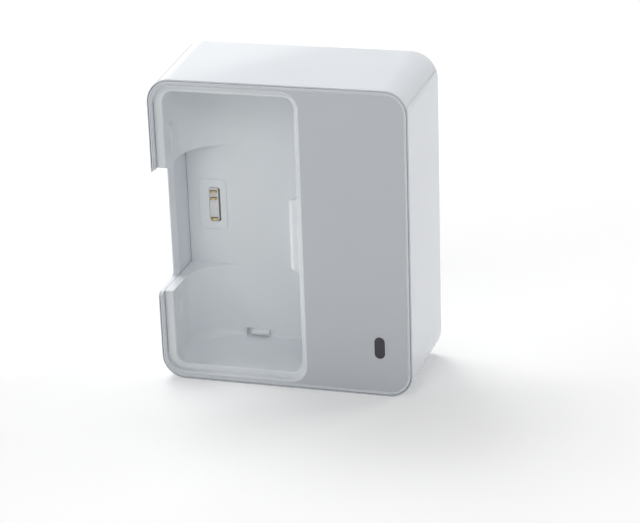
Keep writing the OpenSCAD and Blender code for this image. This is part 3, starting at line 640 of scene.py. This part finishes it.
def new_material(name, colour, roughness, metallic=0.0):
    """A principled material with its node tree and its shader."""
    material = bpy.data.materials.new(name)
    material.use_nodes = True
    tree = material.node_tree
    shader = tree.nodes["Principled BSDF"]
    shader.inputs["Base Color"].default_value = (*linear(colour), 1)
    shader.inputs["Roughness"].default_value = roughness
    shader.inputs["Metallic"].default_value = metallic
    return material, tree, shader


def add_noise(tree, scale, detail=2.0):
    """Noise over the piece, with scale in cells per metre."""
    coordinates = tree.nodes.new("ShaderNodeTexCoord")
    noise = tree.nodes.new("ShaderNodeTexNoise")
    noise.inputs["Scale"].default_value = scale
    noise.inputs["Detail"].default_value = detail
    tree.links.new(coordinates.outputs["Object"], noise.inputs["Vector"])
    return noise.outputs["Fac"]


def vary(tree, value, low, high, socket):
    """Maps a 0 to 1 value onto a range and feeds a shader socket."""
    remap = tree.nodes.new("ShaderNodeMapRange")
    remap.inputs["To Min"].default_value = low
    remap.inputs["To Max"].default_value = high
    tree.links.new(value, remap.inputs["Value"])
    tree.links.new(remap.outputs["Result"], socket)


def tint(tree, value, shader, colour, other):
    """Blends two colours by a 0 to 1 value."""
    mix = tree.nodes.new("ShaderNodeMix")
    mix.data_type = "RGBA"
    mix.inputs["A"].default_value = (*linear(colour), 1)
    mix.inputs["B"].default_value = (*linear(other), 1)
    tree.links.new(value, mix.inputs["Factor"])
    tree.links.new(mix.outputs["Result"], shader.inputs["Base Color"])


def bump(tree, value, shader, height, strength=0.5):
    """Fine relief of a given height in millimetres."""
    node = tree.nodes.new("ShaderNodeBump")
    node.inputs["Strength"].default_value = strength
    node.inputs["Distance"].default_value = height * MM
    tree.links.new(value, node.inputs["Height"])
    tree.links.new(node.outputs["Normal"], shader.inputs["Normal"])


def at_depth(tree, depth):
    """1 where the piece's surface lies at a depth in millimetres, else 0."""
    coordinates = tree.nodes.new("ShaderNodeTexCoord")
    parts = tree.nodes.new("ShaderNodeSeparateXYZ")
    compare = tree.nodes.new("ShaderNodeMath")
    compare.operation = "COMPARE"
    compare.inputs[1].default_value = depth * MM
    compare.inputs[2].default_value = 0.01 * MM
    tree.links.new(coordinates.outputs["Object"], parts.inputs[0])
    tree.links.new(parts.outputs["Y"], compare.inputs[0])
    return compare.outputs[0]


def darker(colour, amount):
    """A colour with a share of its value taken off."""
    return tuple(c * (1 - amount) for c in colour)


def surface_detail(tree, shader, roughness, grain):
    """Slightly varying roughness, and fine grain of a height in millimetres."""
    vary(tree, add_noise(tree, WEAR_SCALE, WEAR_DETAIL), roughness * (1 - WEAR_SHARE),
         roughness * (1 + WEAR_SHARE), shader.inputs["Roughness"])
    bump(tree, add_noise(tree, GRAIN_SCALE, GRAIN_DETAIL), shader, grain)


def moulded(name, colour, roughness, grain=0.004, metallic=0.0, variation=0.03):
    """Moulded plastic or metal: broad tone variation, roughness variation and fine grain."""
    material, tree, shader = new_material(name, colour, roughness, metallic)
    tint(tree, add_noise(tree, TONE_SCALE), shader, colour, darker(colour, variation))
    surface_detail(tree, shader, roughness, grain)
    return material


def cover_painted_shade():
    """White plastic whose flat panel is painted greyer than its bead and lip, as painted shade on
    the front face.
    """
    material, tree, shader = new_material("cover_painted_shade", WHITE, PANEL_ROUGHNESS)
    # Painted shade: the surface at the panel's depth takes the greyer colour
    tint(tree, at_depth(tree, PANEL), shader, WHITE, PANEL_SHADE)
    surface_detail(tree, shader, PANEL_ROUGHNESS, PANEL_GRAIN)
    return material


materials = {
    "white_plastic": moulded("white_plastic", WHITE, 0.06, 0.0004),
    "cover_painted_shade": cover_painted_shade(),
    "liner_plastic": moulded("liner_plastic", LINER, 0.22, 0.002),
    "smoked_window": moulded("smoked_window", (62, 62, 68), 0.2),
    "connector_plastic": moulded("connector_plastic", (234, 234, 236), 0.45),
    "gold_contact": moulded("gold_contact", (214, 196, 150), 0.3, metallic=1.0),
    "circuit_board": moulded("circuit_board", (38, 88, 52), 0.4),
    "lead_insulation": moulded("lead_insulation", (150, 40, 34), 0.5),
    "plug_blade": moulded("plug_blade", (198, 190, 168), 0.28, metallic=1.0),
    "screw_steel": moulded("screw_steel", (176, 178, 182), 0.32, metallic=1.0),
    "ferrite": moulded("ferrite", (52, 53, 56), 0.6),
    "bobbin_plastic": moulded("bobbin_plastic", (176, 150, 110), 0.5),
    "winding_tape": moulded("winding_tape", (206, 168, 60), 0.35),
    "capacitor_sleeve": moulded("capacitor_sleeve", (34, 40, 74), 0.3),
    "fuse_body": moulded("fuse_body", (120, 150, 190), 0.25),
    "black_package": moulded("black_package", (34, 34, 36), 0.5),
    "disc_coating": moulded("disc_coating", (44, 84, 160), 0.35),
    "lamp_resin": moulded("lamp_resin", (224, 226, 214), 0.2),
}


CAD_EDGE_ROUND = 0.15
CAD_SHARP_EDGE = 40


def dress_cad_nodes():
    """Gives each CAD node that stays the material of its slot, with softened edges."""
    slots = {part["node"]: part["material_slot"] for part in frame["record"]["subparts"]}
    for name, node in frame["nodes"].items():
        node.data.materials.clear()
        node.data.materials.append(materials[slots[name]])
        modifier = node.modifiers.new("edges", "BEVEL")
        modifier.width = CAD_EDGE_ROUND * MM
        modifier.segments = 2
        modifier.limit_method = "ANGLE"
        modifier.angle_limit = math.radians(CAD_SHARP_EDGE)


# Stage, light and camera

CAMERA_PLACE = (175.217, -568.836, 265.394)
CAMERA_FORWARD = Vector((-0.26475, 0.89263, -0.36488))
CAMERA_ROLL = math.radians(-1.93)
FOCAL_PIXELS = 2229.2
IMAGE_WIDTH = 640
SENSOR = 36.0


def make_camera():
    """The camera of the photograph, fitted to the outlines of the case."""
    data = bpy.data.cameras.new("camera")
    data.sensor_width = SENSOR
    data.lens = FOCAL_PIXELS * SENSOR / IMAGE_WIDTH
    data.clip_end = 100
    camera = bpy.data.objects.new("camera", data)
    bpy.context.scene.collection.objects.link(camera)
    level = CAMERA_FORWARD.cross(Vector((0, 0, 1))).normalized()
    up = level.cross(CAMERA_FORWARD)
    right = level * math.cos(CAMERA_ROLL) + up * math.sin(CAMERA_ROLL)
    up = right.cross(CAMERA_FORWARD)
    turn = Matrix((right, up, -CAMERA_FORWARD)).transposed().to_4x4()
    camera.matrix_world = Matrix.Translation(Vector(CAMERA_PLACE) * MM) @ turn
    bpy.context.scene.camera = camera


LIGHT_DISTANCE = 1.2
LIGHT_TARGET = Vector((0, 0, 0.045))


def light_panel(name, azimuth, elevation, width, height, power, mirrored=False, roll=0):
    """A soft panel that looks at the object and shows in reflections where mirrored.

    Its azimuth counts from the right, its elevation from the floor and its roll about its own
    axis, all in degrees. Its size is in metres and its power in watts.
    """
    data = bpy.data.lights.new(name, "AREA")
    data.shape = "RECTANGLE"
    data.size = width
    data.size_y = height
    data.energy = power
    panel = bpy.data.objects.new(name, data)
    bpy.context.scene.collection.objects.link(panel)
    turn, rise = math.radians(azimuth), math.radians(elevation)
    away = Vector((math.cos(rise) * math.cos(turn), math.cos(rise) * math.sin(turn),
                   math.sin(rise)))
    panel.location = LIGHT_TARGET + away * LIGHT_DISTANCE
    facing = (-away).to_track_quat("-Z", "Y") @ Quaternion((0, 0, 1), math.radians(roll))
    panel.rotation_euler = facing.to_euler()
    panel.visible_glossy = mirrored


def seen_directly(tree, strength):
    """A strength that only camera, glossy and transmission rays meet."""
    path = tree.nodes.new("ShaderNodeLightPath")
    total = path.outputs["Is Camera Ray"]
    for name in ("Is Glossy Ray", "Is Transmission Ray"):
        add = tree.nodes.new("ShaderNodeMath")
        add.operation = "MAXIMUM"
        tree.links.new(total, add.inputs[0])
        tree.links.new(path.outputs[name], add.inputs[1])
        total = add.outputs[0]
    scale = tree.nodes.new("ShaderNodeMath")
    scale.operation = "MULTIPLY"
    scale.inputs[1].default_value = strength
    tree.links.new(total, scale.inputs[0])
    return scale.outputs[0]


FLOOR_GLOW = 0.23
FLOOR_GREY = 0.8
FLOOR_REACH = 4000


def make_floor():
    """Plain floor that shows white to the camera and keeps the shadow."""
    corners = ((-1, -1), (1, -1), (1, 1), (-1, 1))
    floor = mesh_piece("floor", [Vector((x, y, 0)) * FLOOR_REACH for x, y in corners],
                       [(0, 1, 2, 3)])
    material = bpy.data.materials.new("floor")
    material.use_nodes = True
    tree = material.node_tree
    tree.nodes.clear()
    diffuse = tree.nodes.new("ShaderNodeBsdfDiffuse")
    diffuse.inputs["Color"].default_value = (FLOOR_GREY, FLOOR_GREY, FLOOR_GREY, 1)
    glow = tree.nodes.new("ShaderNodeEmission")
    tree.links.new(seen_directly(tree, FLOOR_GLOW), glow.inputs["Strength"])
    add = tree.nodes.new("ShaderNodeAddShader")
    output = tree.nodes.new("ShaderNodeOutputMaterial")
    tree.links.new(diffuse.outputs[0], add.inputs[0])
    tree.links.new(glow.outputs[0], add.inputs[1])
    tree.links.new(add.outputs[0], output.inputs["Surface"])
    floor.data.materials.append(material)


def make_world():
    """White surroundings, seen by the camera and in reflections. The panels give the light."""
    world = bpy.data.worlds.new("studio")
    bpy.context.scene.world = world
    world.use_nodes = True
    tree = world.node_tree
    background = tree.nodes["Background"]
    background.inputs["Color"].default_value = (1, 1, 1, 1)
    tree.links.new(seen_directly(tree, 1.0), background.inputs["Strength"])


# The object in its surroundings

dress_cad_nodes()
dress(make_housing(), materials["white_plastic"], "white_plastic", "housing")
# The cover's flat panel carries painted shade in its colour
dress(make_cover(), materials["cover_painted_shade"], "white_plastic", "front_cover")
dress(make_liner(), materials["liner_plastic"], "liner_plastic", "bay_liner")
dress(make_lens(), materials["smoked_window"], "smoked_window", "indicator_lens")

make_floor()
make_world()
light_panel("key", 140, 56, 0.7, 0.5, 7.3)
light_panel("top_back", 105, 56, 0.6, 0.6, 1.4)
light_panel("left", 185, 12, 0.7, 0.5, 6.0, True)
light_panel("right_back", 38, 14, 0.6, 0.6, 6.8)
light_panel("front", -90, 40, 0.6, 0.6, 2.4, True)
light_panel("front_left", -120, 20, 0.6, 0.6, 1.7)
light_panel("front_right", -48, 28, 0.6, 0.6, 1.6)
light_panel("overhead", 92, 80, 0.6, 0.6, 1.6)
light_panel("screen", 106, 11.8, 0.6, 0.5, 0.65, True, roll=15.3)
make_camera()

scene = bpy.context.scene
scene.view_settings.view_transform = "Standard"
